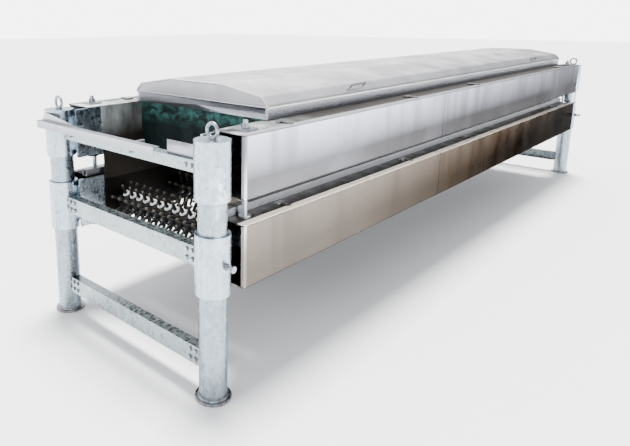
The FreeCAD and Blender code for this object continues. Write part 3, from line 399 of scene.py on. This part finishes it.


# The walls: two long stainless channels in each box, tied across by rods, with cut-outs for
# the roller shafts. Inside they are scuffed from washing and wear, and their near-black colour
# there is painted shade, with a painted light at the top of the entry.

def washed_and_shaded_steel(name, deep, entry, start, end):
    """Stainless sheet in painted shade, near black and brown inside, with a painted light at the top
    of the entry.

    The painted light fades out from start to end, in metres past the near columns.
    """
    steel = Recipe(name, 0.85)
    wash = steel.cloud((7, 7, 2.4), 4, 0.6)
    scuffs = steel.cloud((14, 14, 160), 3)
    # The painted light at the entry's top, laid over the painted shade inside and broken by wash patches.
    lit = steel.times(steel.along("X", near_x + end, near_x + start), steel.along("Z", 0.84, 0.93))
    lit_and_shaded = steel.mixed(lit, deep, entry)
    steel.colour(steel.mixed(steel.band(wash, 0.38, 0.68), lit_and_shaded, deep))
    steel.roughness(steel.band(scuffs, 0.3, 0.7, 0.38, 0.58))
    steel.bump(scuffs, 0.0002)
    return steel.material


wall_steel = {
    "lower": washed_and_shaded_steel("lower_wall_steel", (0.012, 0.010, 0.009), (0.06, 0.055, 0.05), 0.16, 0.26),
    "upper": washed_and_shaded_steel("upper_wall_steel", (0.040, 0.034, 0.028), (0.75, 0.80, 0.78), 0.20, 0.62)}
for level in ("lower", "upper"):
    finished(f"{level}_wall_channels", softened(f"{level}_walls", 0.0009), wall_steel[level],
             f"{level}_box", [f"{level}_walls"])


# The rollers: steel drums on through shafts, each with eight rows of ribbed rubber fingers
# pushed through the drum's wall, two of them with white collars, and a two-groove belt pulley
# outside the right wall. The white collars are a painted highlight for light on a drum's top,
# turned up on the first lower roller, and the drums' near-black colour is painted shade.

def vertices(grown):
    return [item for item in grown if isinstance(item, bmesh.types.BMVert)]


random.seed(7)
finger_rubber = Recipe("moulded_rubber", 0.0, Specular_IOR_Level=0.15)
grime = finger_rubber.cloud((30, 30, 30), 3)
reach_out = finger_rubber.add("ShaderNodeAttribute", attribute_name="reach").outputs["Fac"]
# The white collars on the first rows are a painted highlight, for light falling on a drum's top.
lit_collar_mask = finger_rubber.add("ShaderNodeAttribute", attribute_name="pale").outputs["Fac"]
tip = finger_rubber.band(reach_out, 0.040, 0.052)
stalk = finger_rubber.mixed(tip, (0.006, 0.006, 0.006), (0.07, 0.06, 0.045))
white = finger_rubber.mixed(finger_rubber.band(grime, 0.35, 0.7), (0.86, 0.88, 0.88),
                            (0.66, 0.66, 0.62))
finger_rubber.colour(finger_rubber.mixed(lit_collar_mask, stalk, white))
finger_rubber.roughness(finger_rubber.band(grime, 0.3, 0.7, 0.5, 0.7))
finger_rubber.bump(finger_rubber.cloud((500, 500, 500), 2), 0.0001)
# The drums' near-black colour is painted shade: turned steel darkened to the shade inside the boxes.
shaded_drum_steel = Recipe("turned_steel", 1.0)
lathe = shaded_drum_steel.cloud((20, 500, 20), 3)
shaded_drum_steel.colour(shaded_drum_steel.mixed(shaded_drum_steel.band(lathe, 0.3, 0.7), (0.035, 0.033, 0.03),
                                   (0.015, 0.014, 0.013)))
shaded_drum_steel.roughness(shaded_drum_steel.band(lathe, 0.3, 0.7, 0.28, 0.45))
shaded_drum_steel.bump(lathe, 0.0001)

drum, shaft, pitch = 0.038, 0.0125, 0.052
drum_half, drum_end = 0.390, 0.011
collar_height, lit_collar_rows, half_step = 0.0092, 2, 0.013
ribs = [(0.0165, 0.0), (0.0165, 0.004), (0.0130, 0.009), (0.0082, 0.0095), (0.0090, 0.017),
        (0.0072, 0.021), (0.0083, 0.029), (0.0066, 0.033), (0.0076, 0.041), (0.0060, 0.045),
        (0.0068, 0.054), (0.0042, 0.0568)]
finger = bmesh.new()
bmesh.ops.create_circle(finger, cap_ends=False, segments=8, radius=ribs[0][0])
rim = list(finger.edges)
last_radius, last_height = ribs[0]
for radius, height in ribs[1:]:
    grown = bmesh.ops.extrude_edge_only(finger, edges=rim)["geom"]
    ring = vertices(grown)
    rim = [item for item in grown if isinstance(item, bmesh.types.BMEdge)]
    share = radius / last_radius
    bmesh.ops.transform(finger, verts=ring,
                        matrix=Matrix.Translation((0, 0, height - last_height))
                        @ Matrix.Diagonal((share, share, 1, 1)))
    last_radius, last_height = radius, height
bmesh.ops.contextual_create(finger, geom=rim)
bmesh.ops.recalc_face_normals(finger, faces=finger.faces)
for layer in ("reach", "pale"):
    finger.verts.layers.float.new(layer)
along_finger = finger.verts.layers.float["reach"]
for vert in finger.verts:
    vert[along_finger] = vert.co.z
bmesh.ops.translate(finger, verts=finger.verts, vec=(0, 0, drum - 0.0005))
one_finger = bpy.data.meshes.new("one_finger")
finger.to_mesh(one_finger)
finger.free()

rows = 8
row_fingers = 15
brush = bmesh.new()
for row in range(rows):
    stagger = half_step if row % 2 else -half_step
    for place in range(row_fingers):
        across = (place - (row_fingers - 1) / 2) * pitch + stagger
        if abs(across) > drum_half - drum_end:
            continue
        start = len(brush.verts)
        brush.from_mesh(one_finger)
        brush.verts.ensure_lookup_table()
        grown = brush.verts[start:]
        lean = Matrix.Rotation(math.radians(random.uniform(-3, 3)), 4, "X")
        turn = Matrix.Rotation(2 * math.pi * row / rows, 4, "Y")
        if row < lit_collar_rows:
            marked = brush.verts.layers.float["pale"]
            height = brush.verts.layers.float["reach"]
            for vert in grown:
                vert[marked] = 1.0 if vert[height] < collar_height else 0.0
        bmesh.ops.transform(brush, matrix=turn @ Matrix.Translation((0, across, 0)) @ lean, verts=grown)
brush_mesh = bpy.data.meshes.new("finger_rows")
brush.to_mesh(brush_mesh)
brush.free()

pulley_y = -0.444
grooves = [(shaft, 0), (0.046, 0), (0.046, -0.003), (0.038, -0.003), (0.038, -0.014), (0.046, -0.014),
           (0.046, -0.017), (0.038, -0.017), (0.038, -0.028), (0.046, -0.028), (0.046, -0.031),
           (shaft, -0.031)]
for level, count in (("lower", 12), ("upper", 11)):
    for number in range(1, count + 1):
        node = f"{level}_roller_{number:02d}"
        low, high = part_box(node)
        centre = Vector(((low.x + high.x) / 2, 0, (low.z + high.z) / 2))
        # The first lower roller is turned so that its painted highlight rows face up.
        lit_rows_facing_up = number == 1 and level == "lower"
        angle = math.radians(-180 / rows) if lit_rows_facing_up else random.uniform(1.0, 1.4)
        fingers = bmesh.new()
        fingers.from_mesh(brush_mesh)
        bmesh.ops.transform(fingers, verts=fingers.verts,
                            matrix=Matrix.Translation(centre) @ Matrix.Rotation(angle, 4, "Y"))
        finished(f"{node}_fingers", fingers, finger_rubber.material, node,
                 flat_faces=False)
        core = bmesh.new()
        turned(core, [(0, low.y), (shaft - 0.001, low.y), (shaft, low.y + 0.001), (shaft, -drum_half),
                      (drum - 0.001, -drum_half), (drum, -drum_half + 0.001), (drum, drum_half - 0.001),
                      (drum - 0.001, drum_half), (shaft, drum_half), (shaft, high.y - 0.001),
                      (shaft - 0.001, high.y), (0, high.y)], centre, "Y", 32)
        turned(core, [(radius, pulley_y + y) for radius, y in grooves], centre, "Y", 40)
        finished(f"{node}_drum", core, shaded_drum_steel.material, node, [node])


# The drive: cast bearing housings on the walls, flat belts from roller to roller, and a
# hollow-shaft gearmotor on the left end of each box's last roller.

housing_paint = Recipe("housing_enamel", 0.0, Coat_Weight=0.2)
chips = housing_paint.cloud((90, 90, 90), 4)
housing_paint.colour(housing_paint.mixed(housing_paint.band(chips, 0.55, 0.72), (0.10, 0.11, 0.12),
                                         (0.20, 0.19, 0.18)))
housing_paint.roughness(housing_paint.band(chips, 0.3, 0.7, 0.35, 0.6))
housing_paint.bump(chips, 0.0003)
belt_rubber = Recipe("belt_rubber", 0.0)
weave = belt_rubber.cloud((300, 300, 300), 2)
belt_rubber.colour(belt_rubber.mixed(weave, (0.015, 0.015, 0.016), (0.05, 0.05, 0.05)))
belt_rubber.roughness(belt_rubber.band(weave, 0.3, 0.7, 0.6, 0.8))
belt_rubber.bump(weave, 0.0002)
motor_enamel = Recipe("motor_enamel", 0.0, Coat_Weight=0.3, Coat_Roughness=0.2)
dust = motor_enamel.cloud((25, 25, 25), 4)
motor_enamel.colour(motor_enamel.mixed(motor_enamel.band(dust, 0.4, 0.75), (0.06, 0.14, 0.24),
                                       (0.16, 0.20, 0.24)))
motor_enamel.roughness(motor_enamel.band(dust, 0.3, 0.7, 0.3, 0.5))
motor_enamel.bump(motor_enamel.cloud((260, 260, 260), 2), 0.0002)
for level in ("lower", "upper"):
    body = f"{level}_box"
    finished(f"{level}_bearing_set", softened(f"{level}_bearings", 0.003, 2), housing_paint.material,
             body, [f"{level}_bearings"])
    finished(f"{level}_belt_set", softened(f"{level}_belts", 0.001), belt_rubber.material, body,
             [f"{level}_belts"])
    finished(f"{level}_drive", softened(f"{level}_gearmotor", 0.004, 3), motor_enamel.material, body,
             [f"{level}_gearmotor"])


# The levelling spindles and side rails: threaded rods that stand on round feet on the lower
# box and lift the upper one, and bright square tubes along the lower box's flanges.

rail_steel = zinc_plate("bright_tube", (0.42, 0.44, 0.48))
finished("side_rail_tubes", softened("side_rails", 0.001), rail_steel, "lower_box",
         ["side_rails"])
finished("spindle_rods", softened("spindles", 0.001), bolt_zinc, "lower_box",
         ["spindles"])


# The covers: four stainless sheets on each box, folded over at the top and bottom and in at
# the outer ends, and held on the walls' flanges by lever clips. The rolled grain runs along
# them. Their colour is painted light: a painted reflection, bright at the top and darker towards
# the bottom and the far end, and a dull dust layer on the upper folds brightened as painted light.

def sheet_steel(name, tint, shade, low, high, rough=(0.22, 0.36), edge=0.7, far=0.0, film_and_light=None):
    """Rolled stainless sheet: fine grain along it, faint upright darker streaks and cloudy patches.

    Its colour goes from shade at height low to tint at height high, a painted reflection that
    lights the top. Edge dims it where it is seen at a slant, far darkens it towards the far end as
    painted shade, and the last argument is where a sheet's near fold starts: that fold and the
    top fold carry a dull dust layer, brightened as painted light.
    """
    steel = Recipe(name, 1.0, Specular_Tint=(edge, edge, edge, 1))
    grain = steel.cloud((4, 4, 900), 3, 0.7)
    upright_streaks = steel.cloud((7, 7, 0.6), 3, 0.55, 0.4)
    clouds = steel.cloud((1.1, 1.1, 1.8), 3)
    # The rise in colour towards the top is a painted reflection.
    fall = steel.band(steel.along("Z", low, high), 0.3, 1.0)
    base = steel.mixed(fall, shade, tint)
    streaked = steel.mixed(steel.band(upright_streaks, 0.45, 0.72, 0, 0.6), base, tuple(0.78 * s for s in shade))
    lifted = tuple(0.35 * t + 0.65 * s for t, s in zip(tint, shade))
    clouded = steel.mixed(steel.band(clouds, 0.45, 0.7, 0, 0.45), streaked, lifted)
    # The top and near folds: a dull dust layer, with its colour brightened as painted light.
    if film_and_light is not None:
        top = steel.band(steel.along("Z", high - 0.004, high - 0.001), 0, 1)
        near = steel.band(steel.along("X", film_and_light + 0.016, film_and_light + 0.006), 0, 1)
        dull = steel.add("ShaderNodeMath", operation="MAXIMUM")
        steel.link(top, dull.inputs[0])
        steel.link(near, dull.inputs[1])
        clouded = steel.mixed(dull.outputs[0], clouded, tuple(2.6 * s for s in shade))
        steel.link(steel.band(dull.outputs[0], 0, 1, 1.0, 0.1), steel.shader.inputs["Metallic"])
    # The darkening towards the far end is painted shade.
    if far:
        stretch = cad_box[1].x - cad_box[0].x
        distance = steel.along("X", cad_box[0].x + 0.15 * stretch, cad_box[1].x)
        clouded = steel.mixed(steel.band(distance, 0, 1, 0, far), clouded,
                              tuple(0.10 * s for s in shade))
    steel.colour(clouded)
    steel.roughness(steel.band(steel.cloud((5, 5, 3), 4), 0.3, 0.7, *rough))
    steel.bump(grain, 0.00002)
    steel.bump(steel.cloud((2.2, 2.2, 3.0), 2), 0.0010)
    return steel.material


upper_low, upper_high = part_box("upper_cover_near_right")
lower_low, lower_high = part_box("lower_cover_near_right")
# Both covers' colours are a painted reflection, bright above, darker below and further off.
cover_steel = {
    "upper": sheet_steel("upper_cover_steel", (0.82, 0.85, 0.98), (0.125, 0.124, 0.128),
                         upper_low.z, upper_high.z, edge=0.35, far=0.7, film_and_light=upper_low.x),
    "lower": sheet_steel("lower_cover_steel", (0.23, 0.20, 0.175), (0.135, 0.120, 0.106),
                         lower_low.z, lower_high.z, edge=0.22, far=0.8, film_and_light=lower_low.x)}


def folded(shape, path, start, end, bend, steps=4):
    """A sheet along X, bent at each inner point of a section path of (y, z) points."""
    points = [shape.verts.new((start, y, z)) for y, z in path]
    edges = [shape.edges.new(pair) for pair in zip(points, points[1:])]
    grown = bmesh.ops.extrude_edge_only(shape, edges=edges)["geom"]
    bmesh.ops.translate(shape, verts=vertices(grown), vec=(end - start, 0, 0))
    if bend:
        bevelled(shape, [edge for edge in shape.edges if len(edge.link_faces) == 2], bend, steps)


def thickened(shape, sheet, outward):
    """Gives a sheet its thickness on the side away from outward."""
    shape.normal_update()
    largest = max(shape.faces, key=lambda face: face.calc_area())
    bmesh.ops.recalc_face_normals(shape, faces=shape.faces)
    if largest.normal.dot(Vector(outward)) < 0:
        bmesh.ops.reverse_faces(shape, faces=shape.faces)
    bmesh.ops.solidify(shape, geom=list(shape.faces), thickness=sheet)


cover_sheet, cover_bend, end_fold, bend_room = 0.002, 0.0045, 0.016, 0.007
for level in ("lower", "upper"):
    for end in ("near", "far"):
        for side, way in (("right", -1), ("left", 1)):
            node = f"{level}_cover_{end}_{side}"
            low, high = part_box(node)
            face_y, lip_y = (low.y, high.y) if way < 0 else (high.y, low.y)
            cover = bmesh.new()
            folded(cover, [(lip_y, high.z), (face_y, high.z), (face_y, low.z), (lip_y, low.z)],
                   low.x, high.x, 0)
            for level_z in (low.z + bend_room, high.z - bend_room):
                bmesh.ops.bisect_plane(cover, geom=cover.verts[:] + cover.edges[:] + cover.faces[:],
                                       plane_co=(0, 0, level_z), plane_no=(0, 0, 1))
            fold_x = low.x if end == "near" else high.x
            edge_line = [edge for edge in cover.edges if len(edge.link_faces) == 1
                         and all(abs(vert.co.x - fold_x) < 1e-6 for vert in edge.verts)
                         and edge.calc_length() > 0.1]
            grown = bmesh.ops.extrude_edge_only(cover, edges=edge_line)["geom"]
            bmesh.ops.translate(cover, verts=vertices(grown), vec=(0, -way * end_fold, 0))
            cover.normal_update()
            bends = [edge for edge in cover.edges
                     if len(edge.link_faces) == 2 and edge.calc_face_angle(0) > 0.5]
            bevelled(cover, bends, cover_bend, 4)
            thickened(cover, cover_sheet, (0, way, 0))
            finished(f"{node}_sheet", cover, cover_steel[level], node, [node])


# The clips: small stainless levers on welded seats along both sides of each box. They press
# on the covers' folds and hold the sheets to the walls' flanges.

clip_steel = zinc_plate("clip_steel", (0.30, 0.30, 0.31))
for level in ("lower", "upper"):
    finished(f"{level}_clip_set", softened(f"{level}_clips", 0.0012), clip_steel, f"{level}_box",
             [f"{level}_clips"])


# The lid: a domed stainless cover on a frame of flat bars, hinged along its left side, with
# two bar handles on the right.

lid_low, lid_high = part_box("lid_shell")
# The lid's colour brightens towards the top as painted light.
lid_steel = sheet_steel("lid_steel", (0.95, 0.94, 0.95), (0.80, 0.78, 0.79), lid_low.z, lid_high.z,
                        (0.26, 0.40))
lid_bend, lid_sheet = 0.009, 0.0025
rim_y = lid_high.y
rim_base, rim_top, shoulder_y, shoulder_top, flat_y = lid_low.z, 1.060, rim_y - 0.038, 1.095, 0.168
hinge_z = 1.049
dome = [(-rim_y, rim_base), (-rim_y, rim_top), (-shoulder_y, shoulder_top), (-flat_y, lid_high.z),
        (flat_y, lid_high.z), (shoulder_y, shoulder_top), (rim_y, rim_top), (rim_y, hinge_z)]
lid_sheets = bmesh.new()
folded(lid_sheets, dome, lid_low.x, lid_high.x, lid_bend, 5)
thickened(lid_sheets, lid_sheet, (0, 0, 1))
finished("lid_sheets", lid_sheets, lid_steel, "lid", ["lid_shell"], 24)

# The end plates are a darker copy of the lid's steel, painted shade on its upright ends.
end_steel = sheet_steel("lid_end_steel", (0.42, 0.42, 0.43), (0.34, 0.34, 0.35), 1.05, 1.12, (0.30, 0.42))
inset = 0.003
plate_half = [(flat_y, lid_high.z - inset), (shoulder_y - 0.001, shoulder_top - 0.002),
              (rim_y - inset, rim_top - 0.001), (rim_y - inset, hinge_z)]
plate_path = [(-y, z) for y, z in reversed(plate_half)] + plate_half
lid_ends = bmesh.new()
for plate_x, way in ((lid_low.x + 0.005, -1), (lid_high.x - 0.005, 1)):
    plate_points = [lid_ends.verts.new((plate_x, y, z)) for y, z in plate_path]
    plate_face = lid_ends.faces.new(plate_points)
    plate_face.normal_update()
    if plate_face.normal.x * way < 0:
        plate_face.normal_flip()
    grown = bmesh.ops.extrude_face_region(lid_ends, geom=[plate_face])["geom"]
    bmesh.ops.translate(lid_ends, verts=vertices(grown), vec=(-way * lid_sheet, 0, 0))
bmesh.ops.recalc_face_normals(lid_ends, faces=lid_ends.faces)
finished("lid_end_plates", lid_ends, end_steel, "lid")


def rolled(shape, points, radius):
    """A rolled hem of that radius along a line of points."""
    line = bpy.data.curves.new("hem_line", "CURVE")
    line.dimensions = "3D"
    line.bevel_depth = radius
    line.bevel_resolution = 3
    line.use_fill_caps = True
    run = line.splines.new("POLY")
    run.points.add(len(points) - 1)
    for spot, point in zip(run.points, points):
        spot.co = (*point, 1)
    holder = bpy.data.objects.new("hem_line", line)
    bpy.context.scene.collection.objects.link(holder)
    bpy.context.view_layer.update()
    solid = holder.evaluated_get(bpy.context.evaluated_depsgraph_get())
    mesh = bpy.data.meshes.new_from_object(solid)
    shape.from_mesh(mesh)
    bpy.data.objects.remove(holder)
    bpy.data.curves.remove(line)
    bpy.data.meshes.remove(mesh)


hem_steel = sheet_steel("hem_steel", (0.70, 0.70, 0.72), (0.60, 0.60, 0.62), 1.0, 1.13, (0.24, 0.34))
hem, hem_inset, thin_hem = 0.0045, 0.0044, 0.0035
hems = bmesh.new()
for hem_x in (lid_low.x + hem, lid_high.x - hem):
    rolled(hems, [(hem_x, y * (rim_y - hem_inset) / rim_y, z - hem_inset) for y, z in dome[1:-1]], hem)
    rolled(hems, [(hem_x, side * (rim_y - 0.005), hinge_z + 0.002) for side in (-1, 1)], thin_hem)
rolled(hems, [(end_x, -rim_y + 0.0025, rim_base + thin_hem)
              for end_x in (lid_low.x + 0.001, lid_high.x - 0.001)], thin_hem)
finished("lid_hems", hems, hem_steel, "lid", round_under=60, flat_faces=False)
finished("lid_frame", softened("lid_curb", 0.0015), rail_steel, "upper_box", ["lid_curb"])
finished("lid_hinges_handles", softened("lid_fittings", 0.0012), clip_steel, "lid",
         ["lid_fittings"])


# The curtain: a sheet of green-black rubber that hangs across the entry under the lid's frame.
# It is stiff at the rail and ripples below, with a painted highlight in teal on the wet ripples
# near its top.

curtain_low, curtain_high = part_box("curtain")
curtain_rubber = Recipe("curtain_rubber", 0.0, Specular_IOR_Level=0.12)
wet_and_shine = curtain_rubber.cloud((17, 17, 26), 5, 0.65, 0.8)
lit = curtain_rubber.along("Z", curtain_high.z - 0.10, curtain_high.z - 0.02)
# A painted highlight in teal on the ripples near the top.
painted_shine = curtain_rubber.times(lit, curtain_rubber.band(wet_and_shine, 0.42, 0.66))
curtain_rubber.colour(curtain_rubber.mixed(painted_shine, (0.0015, 0.005, 0.005), (0.035, 0.12, 0.11)))
curtain_rubber.roughness(curtain_rubber.band(wet_and_shine, 0.3, 0.7, 0.45, 0.7))
curtain_rubber.bump(curtain_rubber.cloud((60, 60, 34), 4, 0.6, 0.5), 0.003)
rubber_thickness = 0.003
curtain = bmesh.new()
width, drop = curtain_high.y - curtain_low.y, curtain_high.z - curtain_low.z
bmesh.ops.create_grid(curtain, x_segments=150, y_segments=30, size=0.5)
hang_x = (curtain_low.x + curtain_high.x) / 2
for vert in curtain.verts:
    y, z = vert.co.x * width, (vert.co.y - 0.5) * drop
    depth = -z / drop
    swing = math.sin(34 * y + 2.2 * math.sin(9 * y)) + 0.6 * noise.noise((7 * y, 3 * z, 0.4))
    vert.co = (hang_x + (0.0015 + 0.0065 * depth ** 0.8) * swing, y, curtain_high.z + z)
bmesh.ops.recalc_face_normals(curtain, faces=curtain.faces)
bmesh.ops.solidify(curtain, geom=list(curtain.faces), thickness=rubber_thickness)
curtain_piece = finished("rubber_curtain", curtain, curtain_rubber.material, "upper_box",
                         ["curtain"], 60)


# The entry: a folded stainless hand rail across the near beam and a short guide plate beside
# it, both of bent sheet and fixed to the upper box.

guide_steel = sheet_steel("guide_steel", (0.48, 0.50, 0.54), (0.34, 0.36, 0.39), 0.90, 0.96)
finished("hand_rail_and_guide", softened("entry_guides", 0.0009), guide_steel, "upper_box",
         ["entry_guides"])
